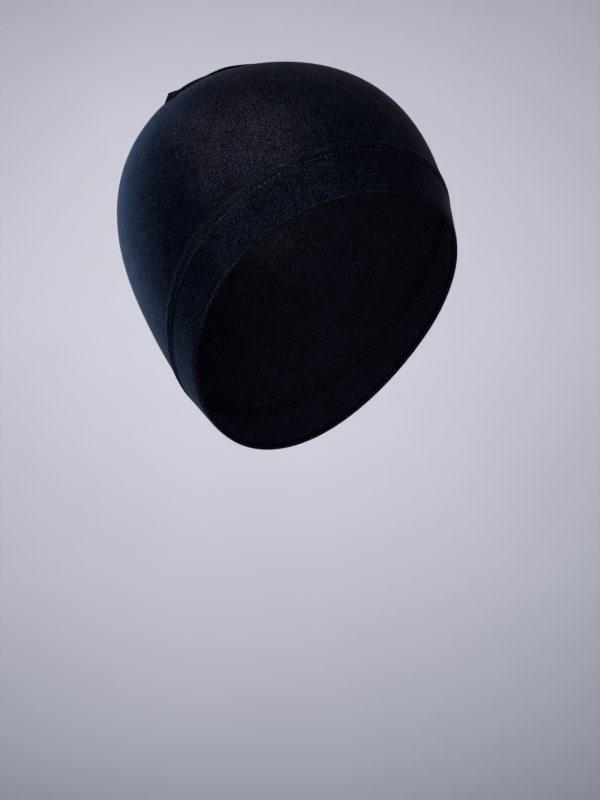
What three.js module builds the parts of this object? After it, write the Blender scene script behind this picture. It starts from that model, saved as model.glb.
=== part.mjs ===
// A close-fitting sleep cap of fine jersey, shown as it sits on a head: a smooth crown with three short seams
// that meet on top, and a turned hem round the face and the nape.
//
// Millimetres, +Z up. The forehead faces -Y, the wearer's right ear is towards -X, and the cap is symmetric
// about X = 0. The origin is the highest point of the inside, where the cloth rests on the head.

import * as THREE from 'three';

// Driving dimensions

// The cap is laid out from a centre inside the head. Its axis leans back by this angle from the vertical.
const AXIS_LEAN = THREE.MathUtils.degToRad(30);

// Reach of the cloth's outer face from that centre, at each angle from the leaning axis:
// towards the forehead, towards either ear, and towards the back of the head.
const REACH = [
  { angle: 0, front: 91.5, side: 91.5, back: 91.5 },
  { angle: 25, front: 87.5, side: 91.5, back: 94.0 },
  { angle: 50, front: 89.0, side: 91.5, back: 93.0 },
  { angle: 75, front: 89.0, side: 86.5, back: 88.5 },
  { angle: 100, front: 88.0, side: 85.5, back: 88.0 },
  { angle: 125, front: 94.0, side: 94.0, back: 101.0 },
  { angle: 150, front: 111.0, side: 115.5, back: 125.5 },
];

// Angle of the lower rim from the leaning axis, in degrees: its mean, and how it swings round the head.
const RIM = { mean: 128, frontToBack: -12.5, twoFold: 0.5, threeFold: 0.3 };

const CLOTH = 1.2;          // one layer of jersey
const HEM_CLOTH = 2.2;      // two layers, turned and pressed
const HEM_HEIGHT = 30.0;    // from the fold to the upper row of stitching
const HEM_PROUD = 0.4;      // the doubled cloth stands out past the crown by this much
const PIECE_GAP = 0.3;      // clearance between the crown's lower edge and the hem's upper edge

// The point where the three seams meet, as an angle behind the vertical.
const STAR_ANGLE = THREE.MathUtils.degToRad(6);

// The seams run from the star towards these places on the hem, in degrees round the axis from the forehead.
const SEAM_HEADINGS = [-120, 120, 180];

// How high a seam lifts the cloth, by the distance from the star. The small peak is the seam's gathered end.
const SEAM_LIFT = [
  { out: 0, lift: 5.6 },
  { out: 14, lift: 4.7 },
  { out: 28, lift: 3.8 },
  { out: 41, lift: 1.5 },
  { out: 53, lift: 1.3 },
  { out: 60, lift: 0.9 },
  { out: 66, lift: 3.0 },
  { out: 71, lift: 0 },
];
const SEAM_SPREAD = 5.0;    // distance beside the seam at which the lift has fallen to about a third

// Facets
const COLUMNS = 60;         // round the head
const SEAM_ROWS = 10;       // from the star down past the ends of the seams
const SEAM_ROW_ANGLE = THREE.MathUtils.degToRad(4.6);
const LOWER_ROWS = 10;      // from there to the hem
const HEM_ROWS = 4;         // on each face of the hem
const FOLD_STEPS = 4;       // round the folded lower edge
const RISE_STEP = THREE.MathUtils.degToRad(0.25);
const NORMAL_STEP = 0.01;

const JERSEY_COLOUR = 0x0d1118;
const HEM_COLOUR = 0x0b0e14;

// Curves through the tables

// A natural cubic curve through the given points, as a function of the first coordinate.
function curveThrough(points) {
  const last = points.length - 1;
  const bend = new Array(last + 1).fill(0);
  const carry = new Array(last + 1).fill(0);
  for (let i = 1; i < last; i += 1) {
    const before = points[i][0] - points[i - 1][0];
    const after = points[i + 1][0] - points[i][0];
    const kink = (points[i + 1][1] - points[i][1]) / after - (points[i][1] - points[i - 1][1]) / before;
    const pivot = 2 * (before + after) - before * carry[i - 1];
    carry[i] = after / pivot;
    bend[i] = (6 * kink - before * bend[i - 1]) / pivot;
  }
  for (let i = last - 1; i > 0; i -= 1) {
    bend[i] -= carry[i] * bend[i + 1];
  }
  return (at) => {
    let i = 1;
    while (i < last && at > points[i][0]) {
      i += 1;
    }
    const width = points[i][0] - points[i - 1][0];
    const right = (at - points[i - 1][0]) / width;
    const left = 1 - right;
    const sag = (left ** 3 - left) * bend[i - 1] + (right ** 3 - right) * bend[i];
    return left * points[i - 1][1] + right * points[i][1] + (sag * width * width) / 6;
  };
}

// The reach over the top of the head, from one column of the table on one side to another on the other side.
function profile(nearColumn, farColumn) {
  const near = REACH.slice(1).reverse().map((row) => [-row.angle, row[nearColumn]]);
  const far = REACH.map((row) => [row.angle, row[farColumn]]);
  return curveThrough([...near, ...far]);
}

const foreheadToNape = profile('front', 'back');
const earToEar = profile('side', 'side');

// The value of a table's column at a distance, on straight lines between its rows, and 0 past its end.
function lookUp(table, key, column, at) {
  for (let i = 1; i < table.length; i += 1) {
    if (at <= table[i][key]) {
      const share = (at - table[i - 1][key]) / (table[i][key] - table[i - 1][key]);
      return THREE.MathUtils.lerp(table[i - 1][column], table[i][column], share);
    }
  }
  return 0;
}

// The cap's surface

// A direction from the centre, by its heading round the leaning axis and its angle from it, in radians.
function direction(heading, angle) {
  const upright = new THREE.Vector3(
    Math.sin(angle) * Math.sin(heading),
    -Math.sin(angle) * Math.cos(heading),
    Math.cos(angle),
  );
  return upright.applyAxisAngle(new THREE.Vector3(1, 0, 0), -AXIS_LEAN);
}

// Reach of the smooth head form in a direction.
function headReach(towards) {
  const local = towards.clone().applyAxisAngle(new THREE.Vector3(1, 0, 0), AXIS_LEAN);
  const angle = THREE.MathUtils.radToDeg(Math.acos(THREE.MathUtils.clamp(local.z, -1, 1)));
  const flat = Math.hypot(local.x, local.y);
  const ahead = flat > 0 ? -local.y / flat : 1;
  const middle = foreheadToNape(ahead > 0 ? -angle : angle);
  const side = earToEar(angle);
  return 1 / Math.sqrt((ahead / middle) ** 2 + (1 - ahead ** 2) / side ** 2);
}

function rimAngle(heading) {
  const degrees = RIM.mean + RIM.frontToBack * Math.cos(heading)
    + RIM.twoFold * Math.cos(2 * heading) + RIM.threeFold * Math.cos(3 * heading);
  return THREE.MathUtils.degToRad(degrees);
}

// The angle from the axis at which the cloth is a given height above the rim, measured along the cloth.
function angleAboveRim(heading, height) {
  let angle = rimAngle(heading);
  let here = direction(heading, angle);
  here.multiplyScalar(headReach(here));
  let climbed = 0;
  while (climbed < height) {
    const next = direction(heading, angle - RISE_STEP);
    next.multiplyScalar(headReach(next));
    const step = next.distanceTo(here);
    const share = Math.min(1, (height - climbed) / step);
    angle -= RISE_STEP * share;
    climbed += step;
    here = next;
  }
  return angle;
}

// The seams

const star = new THREE.Vector3(0, Math.sin(STAR_ANGLE), Math.cos(STAR_ANGLE));

const seams = SEAM_HEADINGS.map((degrees) => {
  const heading = THREE.MathUtils.degToRad(degrees);
  const end = direction(heading, angleAboveRim(heading, HEM_HEIGHT));
  const across = new THREE.Vector3().crossVectors(star, end).normalize();
  return { across, along: new THREE.Vector3().crossVectors(across, star) };
});

// How far the seams lift the cloth off the head in a direction.
function seamLift(towards, reach) {
  return Math.max(...seams.map((seam) => {
    const along = Math.atan2(towards.dot(seam.along), towards.dot(star));
    const fromStar = Math.max(0, along * reach);
    const beside = along > 0 ? Math.asin(towards.dot(seam.across)) * reach : towards.angleTo(star) * reach;
    return lookUp(SEAM_LIFT, 'out', 'lift', fromStar) * Math.exp(-Math.abs(beside) / SEAM_SPREAD);
  }));
}

// A point of the cloth's outer face, moved out along the face by a distance, or in by a negative one.
function clothPoint(towards, outwards) {
  const surface = (aim) => {
    const reach = headReach(aim);
    return aim.clone().multiplyScalar(reach + seamLift(aim, reach));
  };
  const sideways = new THREE.Vector3(1, 0, 0);
  if (Math.abs(towards.x) > 0.8) {
    sideways.set(0, 1, 0);
  }
  const first = new THREE.Vector3().crossVectors(towards, sideways).normalize().multiplyScalar(NORMAL_STEP);
  const second = new THREE.Vector3().crossVectors(towards, first).normalize().multiplyScalar(NORMAL_STEP);
  const span = (step) => {
    const ahead = surface(towards.clone().add(step).normalize());
    return ahead.sub(surface(towards.clone().sub(step).normalize()));
  };
  const normal = span(first).cross(span(second)).normalize();
  return surface(towards).addScaledVector(normal, outwards);
}

const headings = Array.from({ length: COLUMNS }, (_, i) => (2 * Math.PI * i) / COLUMNS - Math.PI);

// Everything is shifted so that the inside of the highest point of the smooth crown is the origin.
const topInside = new THREE.Vector3(0, 0, headReach(new THREE.Vector3(0, 0, 1)) - CLOTH);

// A mesh from rings of points, closed into tubes round the head, with its faces listed by point number.
function meshOf(name, points, faces, colour) {
  const geometry = new THREE.BufferGeometry();
  const places = points.flatMap((point) => point.clone().sub(topInside).toArray());
  geometry.setAttribute('position', new THREE.Float32BufferAttribute(places, 3));
  geometry.setIndex(faces);
  geometry.computeVertexNormals();
  const cloth = new THREE.MeshStandardMaterial({ color: colour, roughness: 0.9, metalness: 0 });
  const mesh = new THREE.Mesh(geometry, cloth);
  mesh.name = name;
  return mesh;
}

// Two triangles for each side of a ring and the ring after it. Both rings hold one point for each column.
function joinRings(faces, upper, lower) {
  for (let i = 0; i < COLUMNS; i += 1) {
    const next = (i + 1) % COLUMNS;
    faces.push(upper + i, lower + i, lower + next);
    faces.push(upper + i, lower + next, upper + next);
  }
}

// A fan of triangles from one point to a ring, seen from the side that the order gives.
function joinPole(faces, pole, ring, outside) {
  for (let i = 0; i < COLUMNS; i += 1) {
    const next = (i + 1) % COLUMNS;
    if (outside) {
      faces.push(pole, ring + i, ring + next);
    } else {
      faces.push(pole, ring + next, ring + i);
    }
  }
}

// Crown: the dome from the star to the hem, one layer of cloth. Its columns run straight out from the star.
function makeCrown() {
  const edges = headings.map((heading) => direction(heading, angleAboveRim(heading, HEM_HEIGHT + PIECE_GAP)));
  const rowDirections = (row) => edges.map((edge) => {
    const whole = star.angleTo(edge);
    const seamPart = SEAM_ROWS * SEAM_ROW_ANGLE;
    const below = (row - SEAM_ROWS) / LOWER_ROWS;
    const turn = row <= SEAM_ROWS ? row * SEAM_ROW_ANGLE : seamPart + (whole - seamPart) * below;
    const axis = new THREE.Vector3().crossVectors(star, edge).normalize();
    return star.clone().applyAxisAngle(axis, turn);
  });
  const rows = SEAM_ROWS + LOWER_ROWS;
  const points = [clothPoint(star, 0)];
  const faces = [];
  for (let row = 1; row <= rows; row += 1) {
    rowDirections(row).forEach((towards) => points.push(clothPoint(towards, 0)));
  }
  for (let row = rows; row >= 1; row -= 1) {
    rowDirections(row).forEach((towards) => points.push(clothPoint(towards, -CLOTH)));
  }
  points.push(clothPoint(star, -CLOTH));
  joinPole(faces, 0, 1, true);
  for (let ring = 0; ring < 2 * rows - 1; ring += 1) {
    joinRings(faces, 1 + ring * COLUMNS, 1 + (ring + 1) * COLUMNS);
  }
  joinPole(faces, points.length - 1, points.length - 1 - COLUMNS, false);
  return meshOf('crown', points, faces, JERSEY_COLOUR);
}

// Hem band: the turned cloth, a closed section of two faces and a round fold, carried round the rim.
function hemSection() {
  const half = HEM_CLOTH / 2;
  const middle = HEM_PROUD - half;
  const section = [];
  for (let row = 0; row < HEM_ROWS; row += 1) {
    section.push({ height: HEM_HEIGHT - (row * (HEM_HEIGHT - half)) / HEM_ROWS, out: HEM_PROUD });
  }
  for (let step = 0; step <= FOLD_STEPS; step += 1) {
    const turn = (Math.PI * step) / FOLD_STEPS;
    section.push({ height: half - half * Math.sin(turn), out: middle + half * Math.cos(turn) });
  }
  for (let row = HEM_ROWS - 1; row >= 0; row -= 1) {
    section.push({ height: section[row].height, out: middle - half });
  }
  return section;
}

function makeHem() {
  const section = hemSection();
  const points = section.flatMap(({ height, out }) => headings.map((heading) => (
    clothPoint(direction(heading, angleAboveRim(heading, height)), out)
  )));
  const faces = [];
  section.forEach((_, ring) => {
    joinRings(faces, ring * COLUMNS, ((ring + 1) % section.length) * COLUMNS);
  });
  return meshOf('hem_band', points, faces, HEM_COLOUR);
}

const sleepCap = new THREE.Group();
sleepCap.add(makeCrown(), makeHem());

export default sleepCap;
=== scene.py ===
"""A close-fitting jersey sleep cap, kept in the form that it has when worn.

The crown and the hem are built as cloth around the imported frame: fine jersey with three short seams that
meet on top, and a turned hem with two rows of stitching. Lengths of the cloth are written in millimetres,
and every Blender object is in metres.
"""
import logging
import math
from dataclasses import dataclass, field
from enum import Enum

import bpy
import numpy as np
from mathutils import Matrix, Vector


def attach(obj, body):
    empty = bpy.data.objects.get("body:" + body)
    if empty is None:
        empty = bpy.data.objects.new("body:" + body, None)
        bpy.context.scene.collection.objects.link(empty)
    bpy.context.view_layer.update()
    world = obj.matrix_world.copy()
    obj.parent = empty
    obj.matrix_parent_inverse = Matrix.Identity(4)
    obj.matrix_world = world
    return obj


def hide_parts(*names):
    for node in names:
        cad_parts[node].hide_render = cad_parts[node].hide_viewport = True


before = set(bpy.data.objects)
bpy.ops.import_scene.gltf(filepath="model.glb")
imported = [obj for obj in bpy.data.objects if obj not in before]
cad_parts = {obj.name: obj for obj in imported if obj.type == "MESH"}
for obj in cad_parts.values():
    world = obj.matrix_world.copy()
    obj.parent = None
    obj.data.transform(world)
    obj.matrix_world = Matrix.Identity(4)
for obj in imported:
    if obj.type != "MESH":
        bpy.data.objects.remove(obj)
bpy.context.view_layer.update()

LOG = logging.getLogger("sleep_cap")
METRES = 0.001
WHOLE_TURN = 2 * math.pi
Colour = tuple[float, float, float]


class Slot(Enum):
    """The record's material slots."""

    JERSEY = "jersey"
    HEM_JERSEY = "hem_jersey"


@dataclass(frozen=True)
class ReachRow:
    """How far the cloth's outer face is from the centre, at one angle from the leaning axis."""

    angle: float
    front: float
    side: float
    back: float


@dataclass(frozen=True)
class LiftRow:
    """How high a seam lifts the cloth, and how deep the trough beside it is, at one place along it."""

    out: float
    lift: float
    trough: float


@dataclass(frozen=True)
class PressRow:
    """A line along the hem where its face stands out, or is pressed in where a size is negative."""

    at: float
    width: float
    steady: float
    at_holes: float = 0.0


@dataclass(frozen=True)
class SectionPoint:
    """A point of the hem's section: its height above the fold, its offset, and its share of the relief."""

    height: float
    offset: float
    relief: float = 0.0


def natural_curve(knots: np.ndarray, values: np.ndarray, at: np.ndarray) -> np.ndarray:
    """Evaluates a natural cubic curve through given points.

    Args:
        knots: The points' first coordinates, rising.
        values: Their second coordinates.
        at: Where the curve is wanted.

    Returns:
        The curve's values, in the shape of at.
    """
    width = np.diff(knots)
    slope = np.diff(values) / width
    system = np.eye(len(knots))
    kink = np.zeros(len(knots))
    for i in range(1, len(knots) - 1):
        system[i, i - 1:i + 2] = width[i - 1], 2 * (width[i - 1] + width[i]), width[i]
        kink[i] = 6 * (slope[i] - slope[i - 1])
    bend = np.linalg.solve(system, kink)
    i = np.clip(np.searchsorted(knots, at, side="right"), 1, len(knots) - 1)
    right = (at - knots[i - 1]) / width[i - 1]
    left = 1 - right
    sag = (left ** 3 - left) * bend[i - 1] + (right ** 3 - right) * bend[i]
    return left * values[i - 1] + right * values[i] + sag * width[i - 1] ** 2 / 6


def unit(vectors: np.ndarray) -> np.ndarray:
    """Returns the vectors scaled to length one."""
    return vectors / np.linalg.norm(vectors, axis=-1, keepdims=True)


def smooth_step(low: float, high: float, at: np.ndarray) -> np.ndarray:
    """Returns a smooth rise from 0 at low to 1 at high."""
    share = np.clip((at - low) / (high - low), 0, 1)
    return share * share * (3 - 2 * share)


def bell(away: np.ndarray, width: float) -> np.ndarray:
    """Returns 1 where away is zero, falling smoothly to nothing within about twice the width."""
    return np.exp(-(away / width) ** 2)


def quad_band(upper: int, lower: int, count: int) -> list[tuple[int, int, int, int]]:
    """Returns the faces of a closed band between two rings, given by their first vertices."""
    return [(upper + i, lower + i, lower + (i + 1) % count, upper + (i + 1) % count) for i in range(count)]


def fan(pole: int, first: int, count: int) -> list[tuple[int, int, int]]:
    """Returns the triangles from a pole to a ring, given by its first vertex."""
    return [(pole, first + i, first + (i + 1) % count) for i in range(count)]


@dataclass(frozen=True)
class WornForm:
    """The form that the stretched cloth takes, in millimetres from a centre inside the cap."""

    axis_lean: float = math.radians(30)
    rows: tuple[ReachRow, ...] = (
        ReachRow(angle=0, front=91.5, side=91.5, back=91.5),
        ReachRow(angle=25, front=87.5, side=91.5, back=94.0),
        ReachRow(angle=50, front=89.0, side=91.5, back=93.0),
        ReachRow(angle=75, front=89.0, side=86.5, back=88.5),
        ReachRow(angle=100, front=88.0, side=85.5, back=88.0),
        ReachRow(angle=125, front=94.0, side=94.0, back=101.0),
        ReachRow(angle=150, front=111.0, side=115.5, back=125.5),
    )
    rim_mean: float = 128
    rim_front_to_back: float = -12.5
    rim_two_fold: float = 0.5
    rim_three_fold: float = 0.3
    rise_steps: int = 500
    rise_angle: float = math.radians(50)

    def lean(self, vectors: np.ndarray, turn: float) -> np.ndarray:
        """Turns vectors about the X axis.

        Args:
            vectors: The vectors, in any shape that ends in 3.
            turn: The angle in radians.

        Returns:
            The turned vectors.
        """
        c, s = math.cos(turn), math.sin(turn)
        y = vectors[..., 1] * c - vectors[..., 2] * s
        z = vectors[..., 1] * s + vectors[..., 2] * c
        return np.stack([vectors[..., 0], y, z], axis=-1)

    def direction(self, heading: np.ndarray, angle: np.ndarray) -> np.ndarray:
        """Finds directions from the centre.

        Args:
            heading: Angles round the leaning axis, 0 at the front, in radians.
            angle: Angles away from the axis, in radians.

        Returns:
            Unit vectors.
        """
        upright = [np.sin(angle) * np.sin(heading), -np.sin(angle) * np.cos(heading), np.cos(angle)]
        return self.lean(np.stack(upright, axis=-1), -self.axis_lean)

    def _profile(self, near: str, far: str, at: np.ndarray) -> np.ndarray:
        """Follows the reach over the top, from one column of the rows to another on the other side.

        Args:
            near: The column for angles below zero.
            far: The column for angles above zero.
            at: Angles from the axis, in degrees.

        Returns:
            The reach at each angle.
        """
        angles = [-row.angle for row in self.rows[:0:-1]] + [row.angle for row in self.rows]
        reach = [getattr(row, near) for row in self.rows[:0:-1]] + [getattr(row, far) for row in self.rows]
        return natural_curve(np.array(angles, float), np.array(reach, float), at)

    def reach(self, towards: np.ndarray) -> np.ndarray:
        """Finds how far the smooth form is from the centre.

        Args:
            towards: Directions from the centre, in any shape that ends in 3.

        Returns:
            The reach in each direction.
        """
        local = self.lean(towards, self.axis_lean)
        angle = np.degrees(np.arccos(np.clip(local[..., 2], -1, 1)))
        flat = np.hypot(local[..., 0], local[..., 1])
        ahead = np.where(flat > 1e-9, -local[..., 1] / np.maximum(flat, 1e-9), 1.0)
        middle = self._profile("front", "back", np.where(ahead > 0, -angle, angle))
        side = self._profile("side", "side", angle)
        return 1 / np.sqrt((ahead / middle) ** 2 + (1 - ahead ** 2) / side ** 2)

    def rim_angle(self, heading: np.ndarray) -> np.ndarray:
        """Finds the folded edge.

        Args:
            heading: Angles round the axis, in radians.

        Returns:
            The edge's angle from the axis at each heading, in radians.
        """
        degrees = self.rim_mean + self.rim_front_to_back * np.cos(heading)
        degrees = degrees + self.rim_two_fold * np.cos(2 * heading)
        return np.radians(degrees + self.rim_three_fold * np.cos(3 * heading))

    def climb(self, headings: np.ndarray) -> tuple[np.ndarray, np.ndarray]:
        """Follows the cloth up from the rim.

        Args:
            headings: Angles round the axis, n of them.

        Returns:
            Angles from the axis, and their heights above the rim along the cloth, each steps by n.
        """
        drop = np.linspace(0, self.rise_angle, self.rise_steps)
        angles = self.rim_angle(headings)[None, :] - drop[:, None]
        towards = self.direction(np.broadcast_to(headings, angles.shape), angles)
        points = towards * self.reach(towards)[..., None]
        steps = np.linalg.norm(np.diff(points, axis=0), axis=-1)
        return angles, np.vstack([np.zeros(len(headings)), np.cumsum(steps, axis=0)])

    def angle_above_rim(self, headings: np.ndarray, heights: np.ndarray) -> np.ndarray:
        """Finds where the cloth has a given height above the rim, measured along the cloth.

        Args:
            headings: Angles round the axis, n of them.
            heights: Heights above the rim, m of them, in millimetres.

        Returns:
            Angles from the axis, m by n.
        """
        angles, climbed = self.climb(headings)
        columns = [np.interp(heights, climbed[:, i], angles[:, i]) for i in range(len(headings))]
        return np.stack(columns, axis=-1)


@dataclass(frozen=True)
class SeamStar:
    """The three seams that meet on top of the crown, and how they lift the cloth."""

    star_angle: float = math.radians(6)
    headings: tuple[float, ...] = (-120, 120, 180)
    rows: tuple[LiftRow, ...] = (
        LiftRow(out=0, lift=5.6, trough=0),
        LiftRow(out=14, lift=4.7, trough=0.4),
        LiftRow(out=28, lift=3.8, trough=0.9),
        LiftRow(out=41, lift=1.7, trough=1.2),
        LiftRow(out=53, lift=1.5, trough=1.2),
        LiftRow(out=60, lift=1.2, trough=0.9),
        LiftRow(out=66, lift=2.9, trough=0.4),
        LiftRow(out=72.5, lift=0, trough=0),
    )
    trough_width: float = 13
    spread: float = 0.8
    crest_radius: float = 0.35
    groove_depth: float = 0.22
    groove_width: float = 0.35
    groove_fade: tuple[float, float] = (12, 1)

    @property
    def star(self) -> np.ndarray:
        """The direction of the place where the seams meet."""
        return np.array([0.0, math.sin(self.star_angle), math.cos(self.star_angle)])

    @property
    def length(self) -> float:
        """The length of a seam along the cloth."""
        return self.rows[-1].out

    def planes(self, ends: np.ndarray) -> list[tuple[np.ndarray, np.ndarray]]:
        """Finds the plane that each seam runs in.

        Args:
            ends: The direction that each seam runs towards.

        Returns:
            For each seam, the unit vectors across it and along it at the star.
        """
        found = []
        for end in ends:
            across = unit(np.cross(self.star, end))
            found.append((across, np.cross(across, self.star)))
        return found

    def lift(self, towards: np.ndarray, reach: np.ndarray, planes: list, groove: bool) -> np.ndarray:
        """Finds how far the seams lift the cloth off the form.

        Args:
            towards: Directions from the centre.
            reach: The smooth form's reach in those directions.
            planes: What planes() returned.
            groove: Whether the line where the two edges are sewn is pressed in.

        Returns:
            Lifts in millimetres.
        """
        out = np.array([row.out for row in self.rows], float)
        height = np.array([row.lift for row in self.rows], float)
        depth = np.array([row.trough for row in self.rows], float)
        best = np.zeros(towards.shape[:-1])
        trough = np.zeros(towards.shape[:-1])
        sunk = np.zeros(towards.shape[:-1])
        fade_start, fade_end = (self.length - distance for distance in self.groove_fade)
        for across, along in planes:
            ahead = np.arctan2(towards @ along, towards @ self.star)
            from_star = np.maximum(0, ahead * reach)
            apart = np.arccos(np.clip(towards @ self.star, -1, 1)) * reach
            beside = np.abs(np.arcsin(np.clip(towards @ across, -1, 1)) * reach)
            beside = np.where(ahead > 0, beside, apart)
            rounded = np.sqrt(beside ** 2 + self.crest_radius ** 2) - self.crest_radius
            low = np.interp(from_star, out, depth, right=0.0) * bell(beside, self.trough_width)
            trough = np.maximum(trough, low)
            raised = np.interp(from_star, out, height + depth, right=0.0)
            best = np.maximum(best, raised * np.exp(-rounded / self.spread))
            ending = 1 - smooth_step(fade_start, fade_end, from_star)
            sunk = np.maximum(sunk, bell(beside, self.groove_width) * ending)
        return best - trough - (self.groove_depth * sunk if groove else 0.0)


@dataclass
class CapCloth:
    """The cap's surface: the worn form with the seams' lift, and places on it."""

    form: WornForm = field(default_factory=WornForm)
    seams: SeamStar = field(default_factory=SeamStar)
    layer: float = 1.2
    hem_height: float = 30.0
    normal_step: float = 0.004

    def __post_init__(self) -> None:
        """Works out the seams' planes and the height of the origin."""
        headings = np.radians(self.seams.headings)
        angles = self.form.angle_above_rim(headings, np.array([self.hem_height]))[0]
        self.planes = self.seams.planes(self.form.direction(headings, angles))
        top = np.array([0.0, 0.0, 1.0])
        self.origin = top * (float(self.form.reach(top)) - self.layer)

    def points(self, towards: np.ndarray, out: np.ndarray | float = 0.0, groove: bool = False) -> np.ndarray:
        """Finds points of the cloth.

        Args:
            towards: Directions from the centre, in any shape that ends in 3.
            out: How far the points are moved out along the face, in millimetres.
            groove: Whether the seams' sewn line is pressed in.

        Returns:
            Points in millimetres, from the part's origin.
        """
        def surface(aim: np.ndarray) -> np.ndarray:
            """Returns the lifted form's points in the given directions."""
            reach = self.form.reach(aim)
            return aim * (reach + self.seams.lift(aim, reach, self.planes, groove))[..., None]

        away = np.where(np.abs(towards[..., :1]) > 0.8, [0.0, 1.0, 0.0], [1.0, 0.0, 0.0])
        first = unit(np.cross(towards, away)) * self.normal_step
        second = unit(np.cross(towards, first)) * self.normal_step
        one = surface(unit(towards + first)) - surface(unit(towards - first))
        two = surface(unit(towards + second)) - surface(unit(towards - second))
        normal = unit(np.cross(one, two))
        return surface(towards) + normal * np.asarray(out)[..., None] - self.origin


@dataclass(frozen=True)
class Puckers:
    """Small uneven waves that stitching pulls into the cloth, counted round the cap."""

    waves: int
    wander: float
    wander_waves: int
    second: float
    second_waves: int
    second_start: float
    size: float = 0.06

    def at(self, heading: np.ndarray) -> np.ndarray:
        """Returns the waves' height at each heading, in millimetres."""
        first = np.sin(heading * self.waves + self.wander * np.sin(heading * self.wander_waves))
        return self.size * (first + self.second * np.sin(heading * self.second_waves + self.second_start))


def mesh_object(name: str, points: np.ndarray, faces: list, uv: np.ndarray | None = None,
                finish: np.ndarray | None = None) -> bpy.types.Object:
    """Makes a smooth-shaded mesh object.

    Args:
        name: The piece's name.
        points: Vertices in millimetres.
        faces: Vertex numbers of each face.
        uv: One pair for each face corner, in face order, or None.
        finish: The number of each face's finish, or None where the piece has one finish.

    Returns:
        The object, linked to the scene.
    """
    mesh = bpy.data.meshes.new(name)
    mesh.from_pydata((points * METRES).tolist(), [], faces)
    mesh.polygons.foreach_set("use_smooth", np.ones(len(mesh.polygons), bool))
    if uv is not None:
        layer = mesh.uv_layers.new(name="cloth")
        layer.data.foreach_set("uv", np.asarray(uv, np.float32).ravel())
    if finish is not None:
        mesh.polygons.foreach_set("material_index", np.asarray(finish, np.int32))
    mesh.update()
    piece = bpy.data.objects.new(name, mesh)
    bpy.context.scene.collection.objects.link(piece)
    return piece


class NodeMaker:
    """Short ways to add and join shader nodes in one material."""

    def __init__(self, name: str) -> None:
        """Starts an empty node tree with an output."""
        self.material = bpy.data.materials.new(name)
        self.material.use_nodes = True
        self.tree = self.material.node_tree
        self.tree.nodes.clear()
        self.output = self.tree.nodes.new("ShaderNodeOutputMaterial")

    def add(self, kind: str, **settings: object) -> bpy.types.Node:
        """Adds a node.

        Args:
            kind: The node's type.
            settings: Values of its properties, by name.

        Returns:
            The node.
        """
        node = self.tree.nodes.new(kind)
        for key, value in settings.items():
            setattr(node, key, value)
        return node

    def join(self, source: bpy.types.NodeSocket, target: bpy.types.NodeSocket) -> None:
        """Links an output to an input."""
        self.tree.links.new(source, target)

    def maths(self, operation: str, *values: object) -> bpy.types.NodeSocket:
        """Adds a Math node.

        Args:
            operation: The node's operation.
            values: Its inputs, each a number or another node's output.

        Returns:
            The node's output.
        """
        node = self.add("ShaderNodeMath", operation=operation)
        for socket, value in zip(node.inputs, values):
            if isinstance(value, (int, float)):
                socket.default_value = value
            else:
                self.join(value, socket)
        return node.outputs[0]

    def noise(self, scale: float, detail: float = 2.0) -> bpy.types.NodeSocket:
        """Adds a noise texture by object coordinates.

        Args:
            scale: Its scale, in features a metre.
            detail: Its detail.

        Returns:
            The noise's value.
        """
        node = self.add("ShaderNodeTexNoise")
        node.inputs["Scale"].default_value = scale
        node.inputs["Detail"].default_value = detail
        self.join(self.add("ShaderNodeTexCoord").outputs["Object"], node.inputs["Vector"])
        return node.outputs["Fac"]

    def ramp(self, value: bpy.types.NodeSocket, low: float, high: float,
             dark: Colour, light: Colour) -> bpy.types.NodeSocket:
        """Turns a value into a colour.

        Args:
            value: The value.
            low: Where the colour is dark.
            high: Where it is light.
            dark: The dark colour.
            light: The light colour.

        Returns:
            The colour.
        """
        node = self.add("ShaderNodeValToRGB")
        for element, position, colour in zip(node.color_ramp.elements, (low, high), (dark, light)):
            element.position = position
            element.color = (*colour, 1)
        self.join(value, node.inputs["Fac"])
        return node.outputs["Color"]

    def bump(self, height: bpy.types.NodeSocket, distance: float, shader: bpy.types.Node) -> None:
        """Gives a shader a bump of the given height.

        Args:
            height: The height, where 1 stands for the distance.
            distance: A length in metres.
            shader: The shader node.
        """
        bump = self.add("ShaderNodeBump")
        bump.inputs["Strength"].default_value = 1.0
        bump.inputs["Distance"].default_value = distance
        self.join(height, bump.inputs["Height"])
        self.join(bump.outputs["Normal"], shader.inputs["Normal"])

    def finish(self, shader: bpy.types.Node) -> bpy.types.Material:
        """Joins the shader to the output and returns the material."""
        self.join(shader.outputs["BSDF"], self.output.inputs["Surface"])
        return self.material


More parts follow.
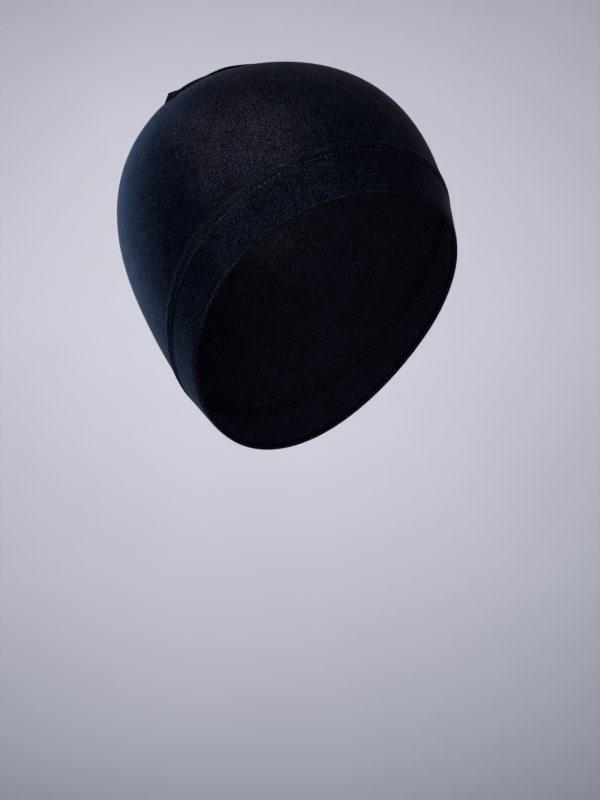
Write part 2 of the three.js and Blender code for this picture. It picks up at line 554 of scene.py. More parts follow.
@dataclass(frozen=True)
class JerseyFinish:
    """Fine single jersey in navy black: knitted columns and rows, fuzz, flecks, lint and a soft sheen."""

    name: str = "navy_black_jersey"
    dark: Colour = (0.0012, 0.0028, 0.0096)
    light: Colour = (0.0060, 0.0090, 0.0190)
    light_from: float = 0.5
    lint: Colour = (0.10, 0.11, 0.13)
    lint_scale: float = 160
    lint_size: float = 0.055
    lint_rareness: float = 0.86
    wale: float = 0.78
    course: float = 0.56
    leg_slant: float = 1.1
    knit_height: float = 0.00007
    grain: float = 1150
    grain_height: float = 2.2
    patches: float = 70
    patch_share: float = 0.15
    knit_painted_shade: float = 0.06
    share_low: float = 0.38
    share_high: float = 0.76
    share_power: float = 1.8
    shine_from: float = 0.3
    shine_gain: float = 3.9
    roughness: float = 0.35
    specular: float = 0.2
    sheen: float = 0.005
    sheen_roughness: float = 0.35
    sheen_tint: Colour = (0.40, 0.65, 1.0)
    purl_side: bool = False

    def _knit(self, make: NodeMaker) -> bpy.types.NodeSocket:
        """Makes the knitted loops, by the cloth's own coordinates in millimetres.

        Args:
            make: The material's node maker.

        Returns:
            The loops' height from 0 to 1.
        """
        uv = make.add("ShaderNodeUVMap", uv_map="cloth")
        split = make.add("ShaderNodeSeparateXYZ")
        make.join(uv.outputs["UV"], split.inputs[0])
        wale = make.maths("DIVIDE", split.outputs["X"], self.wale)
        course = make.maths("DIVIDE", split.outputs["Y"], self.course)
        inside = make.maths("ABSOLUTE", make.maths("SUBTRACT", make.maths("FRACT", wale), 0.5))
        legs = make.maths("SINE", make.maths("MULTIPLY", inside, WHOLE_TURN))
        slant = 0.0 if self.purl_side else self.leg_slant
        phase = make.maths("ADD", course, make.maths("MULTIPLY", inside, slant))
        loops = make.maths("COSINE", make.maths("MULTIPLY", phase, WHOLE_TURN))
        across = make.maths("MULTIPLY_ADD", loops, 0.5, 0.5)
        if self.purl_side:
            return make.maths("MULTIPLY_ADD", legs, 0.3, make.maths("MULTIPLY", across, 0.7))
        return make.maths("MULTIPLY", legs, make.maths("MULTIPLY_ADD", across, 0.5, 0.5))

    def _lint(self, make: NodeMaker) -> bpy.types.NodeSocket:
        """Scatters specks of lint.

        Args:
            make: The material's node maker.

        Returns:
            1 on a speck and 0 beside it.
        """
        cells = make.add("ShaderNodeTexVoronoi")
        cells.inputs["Scale"].default_value = self.lint_scale
        make.join(make.add("ShaderNodeTexCoord").outputs["Object"], cells.inputs["Vector"])
        split = make.add("ShaderNodeSeparateColor")
        make.join(cells.outputs["Color"], split.inputs[0])
        near = make.maths("LESS_THAN", cells.outputs["Distance"], self.lint_size)
        chosen = make.maths("GREATER_THAN", split.outputs[0], self.lint_rareness)
        return make.maths("MULTIPLY", near, chosen)

    def _grain(self, make: NodeMaker,
               knit: bpy.types.NodeSocket) -> tuple[bpy.types.NodeSocket, bpy.types.NodeSocket]:
        """Makes the cloth's grain, where fibres lie thicker or thinner.

        Args:
            make: The material's node maker.
            knit: The height of the knitted loops.

        Returns:
            The grain's height, and the share of light fibres from 0 to 1, with painted shade in the knit.
        """
        flecks = make.noise(self.grain)
        patches = make.noise(self.patches, 3)
        mixed = make.maths("ADD", make.maths("MULTIPLY", flecks, 1 - self.patch_share),
                           make.maths("MULTIPLY", patches, self.patch_share))
        # The knit's height goes into the share, so the hollows between loops are painted a little darker
        # (painted shade) and the loop tops a little lighter.
        shade = make.maths("MULTIPLY_ADD", knit, self.knit_painted_shade, mixed)
        spread = make.add("ShaderNodeMapRange")
        spread.inputs["From Min"].default_value = self.share_low
        spread.inputs["From Max"].default_value = self.share_high
        make.join(shade, spread.inputs["Value"])
        return flecks, make.maths("POWER", spread.outputs[0], self.share_power)

    def build(self) -> bpy.types.Material:
        """Makes the material.

        Returns:
            The material.
        """
        make = NodeMaker(self.name)
        cloth = make.add("ShaderNodeBsdfPrincipled")
        knit = self._knit(make)
        grain, share = self._grain(make, knit)
        yarn = make.ramp(share, 0.0, self.light_from, self.dark, self.light)
        mix = make.add("ShaderNodeMix", data_type="RGBA")
        make.join(self._lint(make), mix.inputs[0])
        make.join(yarn, mix.inputs[6])
        mix.inputs[7].default_value = (*self.lint, 1)
        make.join(mix.outputs[2], cloth.inputs["Base Color"])
        cloth.inputs["Roughness"].default_value = self.roughness
        shine = make.maths("MULTIPLY_ADD", share, self.shine_gain, self.shine_from)
        make.join(make.maths("MULTIPLY", shine, self.specular), cloth.inputs["Specular IOR Level"])
        make.join(make.maths("MULTIPLY", shine, self.sheen), cloth.inputs["Sheen Weight"])
        cloth.inputs["Sheen Roughness"].default_value = self.sheen_roughness
        cloth.inputs["Sheen Tint"].default_value = (*self.sheen_tint, 1)
        height = make.maths("MULTIPLY_ADD", grain, self.grain_height, knit)
        make.bump(height, self.knit_height, cloth)
        return make.finish(cloth)


@dataclass(frozen=True)
class ThreadFinish:
    """Twisted polyester sewing thread, glossier than the cloth."""

    name: str = "navy_black_thread"
    dark: Colour = (0.004, 0.006, 0.011)
    light: Colour = (0.016, 0.022, 0.036)
    roughness: float = 0.24
    specular: float = 0.75
    strands: float = 3800
    strand_height: float = 0.00006

    def build(self) -> bpy.types.Material:
        """Makes the material.

        Returns:
            The material.
        """
        make = NodeMaker(self.name)
        thread = make.add("ShaderNodeBsdfPrincipled")
        strands = make.noise(self.strands)
        make.join(make.ramp(strands, 0.3, 0.7, self.dark, self.light), thread.inputs["Base Color"])
        thread.inputs["Roughness"].default_value = self.roughness
        thread.inputs["Specular IOR Level"].default_value = self.specular
        make.bump(strands, self.strand_height, thread)
        return make.finish(thread)


@dataclass(frozen=True)
class PaintFinish:
    """Flat pale paint, a little uneven."""

    name: str = "pale_painted_wall"
    dark: Colour = (0.62, 0.62, 0.65)
    light: Colour = (0.66, 0.66, 0.69)
    clouds: float = 3.0
    roughness: float = 0.9
    specular: float = 0.1

    def build(self) -> bpy.types.Material:
        """Makes the material.

        Returns:
            The material.
        """
        make = NodeMaker(self.name)
        paint = make.add("ShaderNodeBsdfPrincipled")
        paint.inputs["Roughness"].default_value = self.roughness
        paint.inputs["Specular IOR Level"].default_value = self.specular
        clouds = make.noise(self.clouds, 3)
        make.join(make.ramp(clouds, 0.2, 0.8, self.dark, self.light), paint.inputs["Base Color"])
        return make.finish(paint)


@dataclass
class GoreKnit:
    """Where the crown's points lie in the knit of each gore, the stretch of cloth between two seams."""

    azimuths: np.ndarray
    gores: np.ndarray
    turns: np.ndarray
    radius: float
    seam_length: float

    def __post_init__(self) -> None:
        """Works out each gore's middle and its place along the knit."""
        ends = [self.ends(gore) for gore in range(int(self.gores.max()) + 1)]
        reach = math.sin(self.seam_length / self.radius)
        self.middles = [(first + last) / 2 for first, last in ends]
        widths = [(last - first) * reach for first, last in ends]
        self.starts = np.concatenate([[0.0], np.cumsum(widths)[:-1]]) * self.radius
        self.scale = self.radius * np.sin(np.minimum(self.turns, self.seam_length / self.radius))

    def ends(self, gore: int) -> tuple[float, float]:
        """Finds where a gore starts and ends.

        Args:
            gore: The gore's number.

        Returns:
            The azimuths of its two seams.
        """
        columns = np.flatnonzero(self.gores == gore)
        after = columns[-1] + 1
        last = self.azimuths[after] if after < len(self.gores) else self.azimuths[0] + WHOLE_TURN
        return float(self.azimuths[columns[0]]), float(last)

    def at(self, ring: int, column: int, gore: int) -> tuple[float, float]:
        """Finds a point's place in the knit.

        Args:
            ring: The point's ring.
            column: Its column, past the last one where the ring closes.
            gore: The gore that the place is measured in.

        Returns:
            Its coordinates in millimetres.
        """
        count = len(self.gores)
        azimuth = self.azimuths[column % count] + (WHOLE_TURN if column >= count else 0)
        across = (azimuth - self.middles[gore]) * self.scale[ring, column % count]
        return self.starts[gore] + across, self.turns[ring, column % count] * self.radius

    def pole(self, gore: int) -> tuple[float, float]:
        """Returns the star's place in the knit of a gore."""
        return self.starts[gore], 0.0


@dataclass
class Crown:
    """The dome: one layer of jersey from the star down to just under the hem's upper edge."""

    cloth: CapCloth
    columns: int = 360
    seam_crowding: float = 0.7
    outer_rows: int = 130
    inner_rows: int = 60
    edge_crowding: float = 0.72
    lower_edge: float = 30.04
    groove_depth: float = 0.06
    groove_width: float = 0.6
    inner_groove: float = 0.3
    puckers: Puckers = Puckers(37, wander=1.1, wander_waves=5, second=0.6, second_waves=61, second_start=2)
    pucker_rise: float = 4
    pucker_fade: float = 6
    thickness: float = 0.95
    wale_radius: float = 88.0

    def headings(self) -> tuple[np.ndarray, np.ndarray]:
        """Spaces the columns, crowded towards the seams.

        Returns:
            The columns' headings, and the number of the gore that follows each.
        """
        marks = sorted(math.radians(h) for h in self.cloth.seams.headings)
        found, gores = [], []
        for number, start in enumerate(marks):
            end = marks[number + 1] if number + 1 < len(marks) else marks[0] + WHOLE_TURN
            count = round(self.columns * (end - start) / WHOLE_TURN)
            share = np.arange(count) / count
            crowded = share - self.seam_crowding * np.sin(WHOLE_TURN * share) / WHOLE_TURN
            found.append(start + (end - start) * crowded)
            gores.append(np.full(count, number))
        return np.concatenate(found), np.concatenate(gores)

    def edge(self, headings: np.ndarray) -> tuple[np.ndarray, np.ndarray]:
        """Finds the crown's lower edge.

        Args:
            headings: Where the columns meet the hem.

        Returns:
            Directions to the edge, and the directions in which the columns leave the star.
        """
        star = self.cloth.seams.star
        angles = self.cloth.form.angle_above_rim(headings, np.array([self.lower_edge]))[0]
        edge = self.cloth.form.direction(headings, angles)
        return edge, unit(edge - (edge @ star)[:, None] * star)

    def grid(self, headings: np.ndarray, rows: int) -> tuple[np.ndarray, np.ndarray, np.ndarray]:
        """Lays a grid that runs from the star to the lower edge.

        Args:
            headings: Where the columns meet the hem.
            rows: How many rows, the star left out.

        Returns:
            Directions rows by columns by 3, and each point's height above the rim and angle from the star,
            all with the lower edge last.
        """
        star = self.cloth.seams.star
        edge, side = self.edge(headings)
        whole = np.arccos(edge @ star)
        share = np.arange(1, rows + 1) / rows
        share = 1 - (1 - share) * (1 - self.edge_crowding * share ** 6)
        turn = share[:, None] * whole[None, :]
        towards = np.cos(turn)[..., None] * star + np.sin(turn)[..., None] * side
        height = self.lower_edge + (whole - turn) * self.wale_radius
        return towards, height, turn

    def azimuths(self, headings: np.ndarray) -> np.ndarray:
        """Finds the angle round the star at which each column leaves it.

        Args:
            headings: Where the columns meet the hem.

        Returns:
            Angles that rise round the cap, in radians.
        """
        side = self.edge(headings)[1]
        right = np.array([1.0, 0.0, 0.0])
        ahead = np.cross(self.cloth.seams.star, right)
        return np.unwrap(np.arctan2(side @ right, -(side @ ahead)))

    def tuck(self, height: np.ndarray) -> np.ndarray:
        """Returns how far the upper stitch row pulls the cloth in, as a negative offset."""
        return -self.groove_depth * bell(height - self.lower_edge, self.groove_width)

    def pucker(self, headings: np.ndarray, height: np.ndarray) -> np.ndarray:
        """Finds the small waves above the hem.

        Args:
            headings: The columns' headings.
            height: Each point's height above the rim, rows by columns.

        Returns:
            Offsets in millimetres, rows by columns.
        """
        above = height - self.lower_edge
        fade = np.exp(-(above - self.pucker_rise).clip(0) / self.pucker_fade)
        return self.puckers.at(headings)[None, :] * fade * smooth_step(0, self.pucker_rise, above)

    def build(self) -> bpy.types.Object:
        """Builds the crown's cloth as one closed mesh.

        Returns:
            The crown.
        """
        headings, gores = self.headings()
        count = len(headings)
        towards, height, turn = self.grid(headings, self.outer_rows)
        inner_towards, inner_height, inner_turn = self.grid(headings, self.inner_rows)
        outer = self.cloth.points(towards, self.tuck(height) + self.pucker(headings, height), groove=True)
        inner_out = self.tuck(inner_height) * self.inner_groove - self.thickness
        inner = self.cloth.points(inner_towards, inner_out)[::-1]
        star = self.cloth.seams.star[None, :]
        top = self.cloth.points(star, 0.0, groove=True)
        under = self.cloth.points(star, -self.thickness)
        points = np.concatenate([top, outer.reshape(-1, 3), inner.reshape(-1, 3), under])
        knit = GoreKnit(self.azimuths(headings), gores, np.concatenate([turn, inner_turn[::-1]]),
                        self.wale_radius, self.cloth.seams.length)
        columns = list(enumerate(int(gore) for gore in gores))
        faces, uv = fan(0, 1, count), []
        for i, gore in columns:
            uv += [knit.pole(gore), knit.at(0, i, gore), knit.at(0, i + 1, gore)]
        last = self.outer_rows + self.inner_rows - 1
        for ring in range(last):
            faces += quad_band(1 + ring * count, 1 + (ring + 1) * count, count)
            for i, gore in columns:
                uv += [knit.at(ring, i, gore), knit.at(ring + 1, i, gore),
                       knit.at(ring + 1, i + 1, gore), knit.at(ring, i + 1, gore)]
        closing = fan(len(points) - 1, 1 + last * count, count)
        faces += [(pole, after, before) for pole, before, after in closing]
        for i, gore in columns:
            uv += [knit.pole(gore), knit.at(last, i + 1, gore), knit.at(last, i, gore)]
        inside = np.arange(len(faces)) >= count * (self.outer_rows + 1)
        return mesh_object("crown_cloth", points, faces, np.array(uv), inside)


@dataclass
class Hem:
    """The turned hem: two layers of jersey with a round fold, sewn with two rows that pinch up a ridge."""

    cloth: CapCloth
    stitches: int = 188
    columns_per_stitch: int = 6
    lower_row: float = 23.3
    upper_row: float = 30.0
    raw_edge: float = 32.2
    proud: float = 0.30
    ridge_foot: float = 22.9
    crest: float = 26.2
    ridge: float = 0.78
    dip: float = 0.05
    presses: tuple[PressRow, ...] = (
        PressRow(at=29.8, width=0.5, steady=0, at_holes=-0.12),
        PressRow(at=23.6, width=0.5, steady=0.12),
        PressRow(at=22.8, width=0.55, steady=-0.08, at_holes=-0.14),
        PressRow(at=18.5, width=2.5, steady=0.10),
        PressRow(at=3.0, width=3.0, steady=0.16),
    )
    puckers: Puckers = Puckers(41, wander=1.3, wander_waves=7, second=0.7, second_waves=67, second_start=1)
    pucker_height: float = 20.3
    pucker_width: float = 6.0
    thickness: float = 2.2
    fold_steps: int = 8
    knit_radius: float = 88.0

    def relief(self, height: np.ndarray, phase: np.ndarray) -> np.ndarray:
        """Finds how far the hem's outer face stands out past the smooth form.

        Args:
            height: Heights above the folded edge, in millimetres.
            phase: Places along the stitching, one unit a stitch, whole numbers at the needle holes.

        Returns:
            Distances in millimetres.
        """
        hole = 0.5 + 0.5 * np.cos(WHOLE_TURN * phase)
        swell = self.ridge * smooth_step(self.ridge_foot, self.crest, height)
        fall = np.clip((height - self.crest) / (self.upper_row - self.crest), 0, 1) ** 2
        total = self.proud + swell - (self.proud + self.ridge + self.dip) * fall
        for row in self.presses:
            total = total + (row.steady + row.at_holes * hole) * bell(height - row.at, row.width)
        return total

    def section(self) -> tuple[np.ndarray, np.ndarray, np.ndarray, int]:
        """Draws the hem's closed section.

        Returns:
            Heights, offsets from the smooth form, how much of the relief each point takes, and how many of
            the points are on the outside.
        """
        dense = np.concatenate([
            np.linspace(self.upper_row - 0.04, 28.2, 9), np.linspace(27.8, 25.2, 7),
            np.linspace(24.8, 21.6, 14), np.linspace(21.0, 5.0, 12), np.array([3.6, 2.4]),
        ])
        outer = [SectionPoint(height, 0.0, 1.0) for height in dense]
        half = self.thickness / 2
        for step in range(1, self.fold_steps):
            turn = math.pi * step / self.fold_steps
            outer.append(SectionPoint(half - half * math.sin(turn), half * math.cos(turn) - half,
                                      1 - step / self.fold_steps))
        face = -self.thickness
        climb = (2.4, 6.0, 12.0, 18.0, 22.0, 23.0, 23.6, 25.0, 28.0, 29.6, 30.4, 31.4)
        inner = [SectionPoint(height, face) for height in climb] + [
            SectionPoint(self.raw_edge, face + 0.1),
            SectionPoint(self.raw_edge + 0.1, face + 0.5),
            SectionPoint(self.raw_edge, -1.3),
            SectionPoint(31.2, -1.22),
            SectionPoint(30.3, -1.2),
            SectionPoint(29.99, -1.0),
        ]
        rows = [(point.height, point.offset, point.relief) for point in outer + inner]
        heights, offsets, share = np.array(rows, float).T
        return heights, offsets, share, len(outer)

    def build(self) -> bpy.types.Object:
        """Builds the hem's cloth as one closed mesh.

        Returns:
            The hem.
        """
        count = self.stitches * self.columns_per_stitch
        headings = np.linspace(-math.pi, math.pi, count, endpoint=False)
        phase = np.arange(count) / self.columns_per_stitch
        heights, offsets, share, outside = self.section()
        order = np.argsort(heights)
        angles = np.empty((len(heights), count))
        angles[order] = self.cloth.form.angle_above_rim(headings, heights[order])
        towards = self.cloth.form.direction(np.broadcast_to(headings, angles.shape), angles)
        near = bell(heights - self.pucker_height, self.pucker_width)
        pucker = self.puckers.at(headings)[None, :] * near[:, None]
        relief = self.relief(heights[:, None], phase[None, :]) + pucker
        points = self.cloth.points(towards, offsets[:, None] + relief * share[:, None])
        rings = len(heights)
        length = np.concatenate([[0.0], np.cumsum(np.hypot(np.diff(heights), np.diff(offsets)))])
        length = np.append(length, length[-1] + 1.0)
        left = headings * self.knit_radius
        right = (headings + WHOLE_TURN / count) * self.knit_radius
        faces, uv = [], []
        for ring in range(rings):
            faces += quad_band(ring * count, ((ring + 1) % rings) * count, count)
            top, bottom = length[ring], length[ring + 1]
            for i in range(count):
                uv += [(left[i], top), (left[i], bottom), (right[i], bottom), (right[i], top)]
        inside = np.arange(len(faces)) >= outside * count
        return mesh_object("hem_cloth", points.reshape(-1, 3), faces, np.array(uv), inside)


@dataclass(frozen=True)
class Thread:
    """Sewing thread of one thickness, laid along paths on the cap."""

    centre: tuple[float, float, float]
    radius: float = 0.2
    sides: int = 6
    tip: float = 0.35

    def tube(self, path: np.ndarray, first: int) -> tuple[np.ndarray, list]:
        """Rounds a thread with closed ends along a path.

        Args:
            path: Its centreline, in millimetres.
            first: The number that its first vertex gets in the joined mesh.

        Returns:
            Its vertices and its faces.
        """
        ahead = unit(np.gradient(path, axis=0))
        side = unit(np.cross(ahead, unit(path - np.array(self.centre))))
        up = np.cross(side, ahead)
        turns = np.arange(self.sides) * WHOLE_TURN / self.sides
        thick = np.full(len(path), self.radius)
        thick[0] = thick[-1] = self.radius * self.tip
        ring = np.cos(turns)[None, :, None] * side[:, None, :] + np.sin(turns)[None, :, None] * up[:, None, :]
        points = path[:, None, :] + ring * thick[:, None, None]
        faces = []
        for i in range(len(path) - 1):
            a, b = first + i * self.sides, first + (i + 1) * self.sides
            for j in range(self.sides):
                after = (j + 1) % self.sides
                faces.append((a + j, a + after, b + after, b + j))
        last = first + (len(path) - 1) * self.sides
        faces.append(tuple(first + j for j in reversed(range(self.sides))))
        faces.append(tuple(last + j for j in range(self.sides)))
        return points.reshape(-1, 3), faces

    def lay(self, name: str, paths: list[np.ndarray]) -> bpy.types.Object:
        """Joins one thread for each path into a single piece.

        Args:
            name: The piece's name.
            paths: The threads' centrelines.

        Returns:
            The piece.
        """
        points, faces, first = [], [], 0
        for path in paths:
            some, sides = self.tube(path, first)
            points.append(some)
            faces += sides
            first += len(some)
        return mesh_object(name, np.concatenate(points), faces)


@dataclass
class HemStitching:
    """The threads of the hem: two rows of needle stitches outside, and the looper's chain inside."""

    hem: Hem
    radius: float = 0.25
    sunk: float = 0.8
    hole_margin: float = 0.10
    arch_power: float = 0.6
    looper_radius: float = 0.17
    looper_swell: float = 0.12
    steps: int = 7
    looper_steps: int = 9
    upper_shift: float = -0.5
    upper_rise: float = 2.0
    lower_shift: float = 0.2
    lower_rise: float = 1.35

    def place(self, headings: np.ndarray, height: np.ndarray, out: np.ndarray) -> np.ndarray:
        """Finds points on the hem.

        Args:
            headings: Their headings.
            height: Their heights above the rim.
            out: Their distances off the form.

        Returns:
            Points in millimetres.
        """
        angles, climbed = self.hem.cloth.form.climb(headings)
        angle = np.array([np.interp(height[i], climbed[:, i], angles[:, i]) for i in range(len(headings))])
        return self.hem.cloth.points(self.hem.cloth.form.direction(headings, angle), out)

    def along(self, share: np.ndarray) -> tuple[np.ndarray, np.ndarray]:
        """Spaces points along every stitch of a row.

        Args:
            share: Their places in one stitch, from 0 to 1.

        Returns:
            Places in stitches, and headings, both for the whole row.
        """
        stitch = (np.arange(self.hem.stitches)[:, None] + share[None, :]).ravel()
        return stitch, -math.pi + stitch * WHOLE_TURN / self.hem.stitches

    def row(self, name: str, height: float, rise: float) -> bpy.types.Object:
        """Builds one outer row of stitches, each a short thread that dives into its two needle holes.

        Args:
            name: The piece's name.
            height: The row's height above the folded edge, in millimetres.
            rise: How far a stitch's middle rises above its ends, in thread radii.

        Returns:
            The row as one piece.
        """
        count = self.hem.stitches
        stitch, headings = self.along(np.linspace(self.hole_margin, 1 - self.hole_margin, self.steps))
        heights = np.full(len(stitch), height)
        arch = np.tile(np.sin(math.pi * np.linspace(0, 1, self.steps)) ** self.arch_power, count)
        out = self.hem.relief(heights, stitch) + self.radius * (rise * arch - self.sunk)
        paths = self.place(headings, heights, out).reshape(count, self.steps, 3)
        return Thread(tuple(-self.hem.cloth.origin), self.radius).lay(name, list(paths))

    def chain(self, name: str) -> bpy.types.Object:
        """Builds the looper's chain on the inside, which zigzags between the two rows over the raw edge.

        Args:
            name: The piece's name.

        Returns:
            The chain as one piece.
        """
        count = self.hem.stitches
        share = np.linspace(0, 1, self.looper_steps)
        headings = self.along(share)[1]
        swing = np.tile(0.5 - 0.5 * np.cos(WHOLE_TURN * share), count)
        height = self.hem.lower_row + (self.hem.upper_row - self.hem.lower_row) * swing
        swell = self.looper_swell * np.tile(np.sin(WHOLE_TURN * share) ** 2, count)
        out = -self.hem.thickness - self.looper_radius - swell
        paths = self.place(headings, height, out).reshape(count, self.looper_steps, 3)
        return Thread(tuple(-self.hem.cloth.origin), self.looper_radius).lay(name, list(paths))

    def build(self) -> list[bpy.types.Object]:
        """Builds both rows and the chain.

        Returns:
            The three pieces.
        """
        return [
            self.row("hem_stitches_upper", self.hem.upper_row + self.upper_shift, self.upper_rise),
            self.row("hem_stitches_lower", self.hem.lower_row + self.lower_shift, self.lower_rise),
            self.chain("hem_looper_chain"),
        ]


@dataclass
class SeamAllowances:
    """The sewn edges of the crown's three seams, pressed to one side on the inside and overlocked."""

    cloth: CapCloth
    width: float = 5.6
    thickness: float = 0.9
    cloth_face: float = -1.0
    clearance: float = 0.04
    start: float = 2.5
    ending: float = 69.0
    steps: int = 90
    turn_radius: float = 90.0
    pitch: float = 1.25
    thread_radius: float = 0.13
    thread_inset: float = 0.9
    thread_overhang: float = 0.05
    thread_seat: float = 0.8
    thread_wrap: float = 0.35
    end_margin: float = 1
    swing_steps: int = 4

    def place(self, plane: tuple, along: np.ndarray, beside: np.ndarray, out: np.ndarray) -> np.ndarray:
        """Finds points inside the crown.

        Args:
            plane: The seam's two unit vectors.
            along: Distances along the seam from the star.
            beside: Distances beside the seam.
            out: Offsets from the cloth's outer face.

        Returns:
            Points in millimetres.
        """
        across, forward = plane
        turn = (along / self.turn_radius)[..., None]
        aside = (beside / self.turn_radius)[..., None]
        middle = np.cos(turn) * self.cloth.seams.star + np.sin(turn) * forward
        return self.cloth.points(np.cos(aside) * middle + np.sin(aside) * across, out)

    def edges(self, name: str) -> bpy.types.Object:
        """Builds the three folded strips of cloth as one piece.

        Args:
            name: The piece's name.

        Returns:
            The piece.
        """
        near = self.cloth_face - self.clearance
        far = near - self.thickness
        rising = [(0.2, near), (1.6, near), (3.2, near), (self.width - 0.4, near), (self.width, near - 0.25)]
        section = rising + [(beside, near + far - out) for beside, out in reversed(rising)]
        beside, out = (np.array(column) for column in zip(*section))
        along = np.linspace(self.start, self.ending, self.steps)
        sides = len(section)
        shape = (self.steps, sides)
        points, faces, uv, first = [], [], [], 0
        for plane in self.cloth.planes:
            rows = self.place(plane, np.broadcast_to(along[:, None], shape), np.broadcast_to(beside, shape),
                              np.broadcast_to(out, shape))
            points.append(rows.reshape(-1, 3))
            for i in range(self.steps - 1):
                faces += quad_band(first + i * sides, first + (i + 1) * sides, sides)
                for j in range(sides):
                    uv += [(j, along[i]), (j, along[i + 1]), (j + 1, along[i + 1]), (j + 1, along[i])]
            last = first + (self.steps - 1) * sides
            faces.append(tuple(first + j for j in range(sides)))
            faces.append(tuple(last + j for j in reversed(range(sides))))
            uv += [(0.0, 0.0)] * (2 * sides)
            first += self.steps * sides
        return mesh_object(name, np.concatenate(points), faces, np.array(uv))

    def loops(self, name: str) -> bpy.types.Object:
        """Builds the overlocking threads that cross each strip and wrap its edge.

        Args:
            name: The piece's name.

        Returns:
            The threads as one piece.
        """
        count = int((self.ending - self.start - 2 * self.end_margin) / self.pitch)
        step = np.arange(count * self.swing_steps + 1) / self.swing_steps
        swing = 0.5 - 0.5 * np.cos(math.pi * step)
        along = self.start + self.end_margin + step * self.pitch
        beside = self.thread_inset + (self.width + self.thread_overhang - self.thread_inset) * swing
        under = self.cloth_face - self.clearance - self.thickness - self.thread_radius * self.thread_seat
        paths = [self.place(plane, along, beside, under + self.thread_wrap * swing ** 6)
                 for plane in self.cloth.planes]
        return Thread(tuple(-self.cloth.origin), self.thread_radius, sides=5).lay(name, paths)

    def build(self) -> tuple[bpy.types.Object, bpy.types.Object]:
        """Builds the strips and their threads."""
        return self.edges("crown_seam_allowances"), self.loops("crown_overlock_threads")


@dataclass(frozen=True)
class SoftBox:
    """A soft box that faces the cap, placed from the form's centre by the camera's directions, in metres."""

    name: str
    right: float
    up: float
    back: float
    size: tuple[float, float]
    power: float
    colour: Colour
    spread: float = 180
    along_view: bool = False


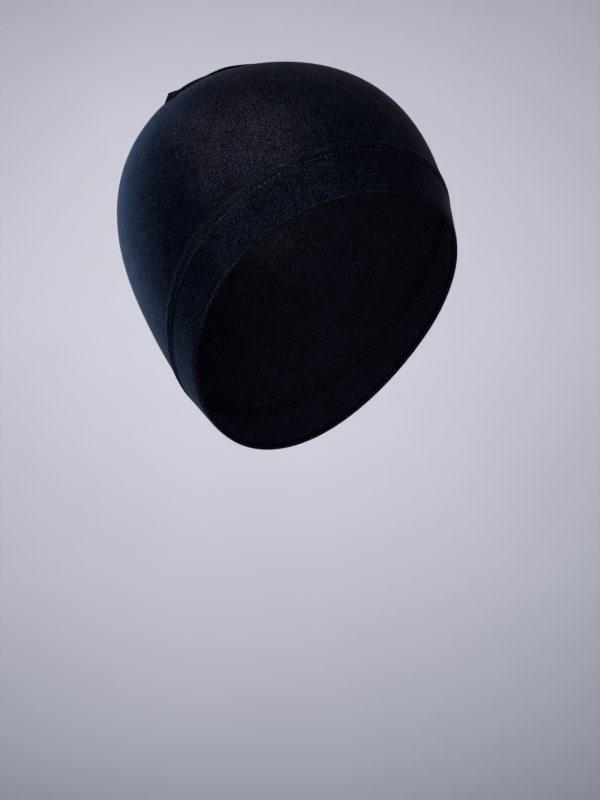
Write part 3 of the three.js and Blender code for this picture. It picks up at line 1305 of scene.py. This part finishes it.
@dataclass
class Studio:
    """The camera at the photograph's angle, soft lights, and a pale floor that curves up into a wall."""

    azimuth: float = math.radians(-42)
    elevation: float = math.radians(-11)
    distance: float = 1.3
    focal_pixels: float = 2462.0
    frame_width: int = 600
    frame_height: int = 800
    centre_x: float = 285.0
    centre_y: float = 231.5
    sensor: float = 36.0
    clip_start: float = 0.01
    floor: float = -0.64
    wall_radius: float = 2.6
    wall_height: float = 2.9
    wall_curve: float = 0.9
    curve_steps: int = 12
    wall_sides: int = 96
    boxes: tuple[SoftBox, ...] = (
        SoftBox("left_window", right=-1.0, up=0.08, back=-1.25, size=(0.9, 1.5), power=1.75,
                colour=(0.33, 0.565, 1.0), spread=120),
        SoftBox("left_bounce", right=-1.6, up=0.1, back=0, size=(1.3, 1.5), power=0.4,
                colour=(0.62, 0.75, 1.0)),
        SoftBox("overhead_strip", right=-0.67, up=1.15, back=0.52, size=(0.14, 1.15), power=3.4,
                colour=(0.84, 0.84, 1.0), spread=120, along_view=True),
        SoftBox("front_bounce", right=0.35, up=1.05, back=1.15, size=(1.4, 1.0), power=1.3,
                colour=(0.86, 0.90, 1.0)),
        SoftBox("hollow_fill", right=0, up=-0.16, back=0.95, size=(0.9, 0.22), power=1.5,
                colour=(0.85, 0.93, 1.0), spread=100),
    )
    wash_height: float = 0.27
    wash_behind: float = 1.5
    wash_aside: float = -0.06
    wash_tilt: float = 0.16
    wash_size: tuple[float, float] = (0.8, 0.5)
    wash_power: float = 4.4
    wash_colour: Colour = (1.0, 0.99, 0.965)
    wash_spread: float = 135
    room_colour: Colour = (0.76, 0.79, 1.0)
    room_strength: float = 0.25

    def centre(self, cloth: CapCloth) -> Vector:
        """Returns the form's centre in metres, which the camera's place is measured from."""
        return Vector(-cloth.origin * METRES)

    def axes(self) -> tuple[Vector, Vector, Vector]:
        """Finds the camera's directions.

        Returns:
            The unit vectors towards the camera, to the picture's right, and up the picture.
        """
        back = Vector((
            math.sin(self.azimuth) * math.cos(self.elevation),
            -math.cos(self.azimuth) * math.cos(self.elevation),
            math.sin(self.elevation),
        ))
        right = Vector((math.cos(self.azimuth), math.sin(self.azimuth), 0))
        return back, right, back.cross(right)

    def aimed(self, place: Vector, ahead: Vector, side: Vector) -> Matrix:
        """Returns the matrix of a camera or lamp at a place that looks ahead, with its X axis to one side."""
        turned = Matrix((side, side.cross(ahead), -ahead)).transposed().to_4x4()
        return Matrix.Translation(place) @ turned

    def add_camera(self, cloth: CapCloth) -> None:
        """Sets the camera so that the form's centre falls where the photograph has it.

        Args:
            cloth: The cap's surface.
        """
        back, right, up = self.axes()
        side = (self.centre_x - self.frame_width / 2) / self.focal_pixels
        rise = (self.frame_height / 2 - self.centre_y) / self.focal_pixels
        ahead = (-back - right * side - up * rise).normalized()
        level = ahead.cross(Vector((0, 0, 1))).normalized()
        data = bpy.data.cameras.new("camera")
        data.sensor_width = self.sensor
        data.lens = self.focal_pixels / self.frame_height * self.sensor
        data.clip_start = self.clip_start
        camera = bpy.data.objects.new("camera", data)
        camera.matrix_world = self.aimed(self.centre(cloth) + back * self.distance, ahead, level)
        bpy.context.scene.collection.objects.link(camera)
        bpy.context.scene.camera = camera

    def add_light(self, name: str, place: Vector, aim: Vector, size: tuple[float, float], power: float,
                  colour: Colour, roll: Vector, spread: float) -> None:
        """Adds a soft box.

        Args:
            name: Its name.
            place: Its place, in metres.
            aim: The point that it faces.
            size: Its width and height.
            power: Its power in watts.
            colour: Its colour.
            roll: The direction that its height runs along.
            spread: How widely its grid lets the light out, in degrees.
        """
        data = bpy.data.lights.new(name, "AREA")
        data.shape = "RECTANGLE"
        data.size, data.size_y = size
        data.energy = power
        data.color = colour
        data.spread = math.radians(spread)
        lamp = bpy.data.objects.new(name, data)
        facing = (aim - place).normalized()
        lamp.matrix_world = self.aimed(place, facing, facing.cross(roll).normalized())
        lamp.visible_camera = False
        bpy.context.scene.collection.objects.link(lamp)

    def add_lights(self, cloth: CapCloth) -> None:
        """Adds the soft boxes round the cap, one that washes the wall behind it, and the room's own light.

        Args:
            cloth: The cap's surface.
        """
        back, right, up = self.axes()
        centre = self.centre(cloth)
        upright = Vector((0, 0, 1))
        for box in self.boxes:
            place = centre + right * box.right + up * box.up + back * box.back
            roll = back if box.along_view else upright
            self.add_light(box.name, place, centre, box.size, box.power, box.colour, roll, box.spread)
        level = Vector((back.x, back.y, 0)).normalized()
        wash = Vector((centre.x, centre.y, self.wash_height)) - level * self.wash_behind
        wash += right * self.wash_aside
        aim = wash - level + upright * self.wash_tilt
        self.add_light("wall_wash", wash, aim, self.wash_size, self.wash_power, self.wash_colour, upright,
                       self.wash_spread)
        world = bpy.data.worlds.new("room")
        world.use_nodes = True
        sky = world.node_tree.nodes["Background"]
        sky.inputs["Color"].default_value = (*self.room_colour, 1)
        sky.inputs["Strength"].default_value = self.room_strength
        bpy.context.scene.world = world
        bpy.context.scene.view_settings.view_transform = "Standard"
        bpy.context.scene.view_settings.look = "High Contrast"

    def add_backdrop(self) -> None:
        """Adds the floor and the wall as one turned surface round the cap."""
        flat = self.wall_radius - self.wall_curve
        profile = [(flat, 0.0)]
        for step in range(1, self.curve_steps + 1):
            turn = math.pi / 2 * step / self.curve_steps
            profile.append((flat + self.wall_curve * math.sin(turn), self.wall_curve * (1 - math.cos(turn))))
        profile.append((self.wall_radius, self.wall_height))
        points = [(0.0, 0.0, self.floor)]
        for out, height in profile:
            for i in range(self.wall_sides):
                turn = WHOLE_TURN * i / self.wall_sides
                points.append((out * math.cos(turn), out * math.sin(turn), self.floor + height))
        faces = fan(0, 1, self.wall_sides)
        for ring in range(len(profile) - 1):
            faces += quad_band(1 + ring * self.wall_sides, 1 + (ring + 1) * self.wall_sides, self.wall_sides)
        stage = mesh_object("pale_floor_and_wall", np.array(points) / METRES, faces)
        stage.data.materials.append(PaintFinish().build())


def dress(piece: bpy.types.Object, finishes: list[bpy.types.Material]) -> None:
    """Gives a piece its finishes and its body.

    Args:
        piece: The piece.
        finishes: Its materials, in the order of their numbers.
    """
    for material in finishes:
        piece.data.materials.append(material)
    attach(piece, "root")
    LOG.info("%s: %d faces", piece.name, len(piece.data.polygons))


def main() -> None:
    """Builds the cap and its studio."""
    logging.basicConfig(level=logging.INFO, format="%(name)s: %(message)s")
    cloth = CapCloth()
    face = JerseyFinish().build()
    # The inner face gets several times the outer face's colour and ten times its sheen. A little of that is
    # the purl side's duller look; most of it is painted fill light, so that the shaded hollow does not go
    # black.
    inside = JerseyFinish(
        name="navy_black_jersey_inside_painted_fill", purl_side=True, specular=0.1, sheen=0.05,
        dark=(0.012, 0.014, 0.020), light=(0.042, 0.047, 0.062),
    ).build()
    thread = ThreadFinish().build()
    crown = Crown(cloth).build()
    dress(crown, [face, inside])
    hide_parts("crown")
    hem = Hem(cloth)
    hem_cloth = hem.build()
    dress(hem_cloth, [face, inside])
    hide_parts("hem_band")
    for piece in HemStitching(hem).build():
        dress(piece, [thread])
    strips, loops = SeamAllowances(cloth).build()
    # The seam strips take the inner finish, with its painted fill light.
    dress(strips, [inside])
    dress(loops, [thread])
    studio = Studio()
    studio.add_backdrop()
    studio.add_lights(cloth)
    studio.add_camera(cloth)


if __name__ == "__main__":
    main()
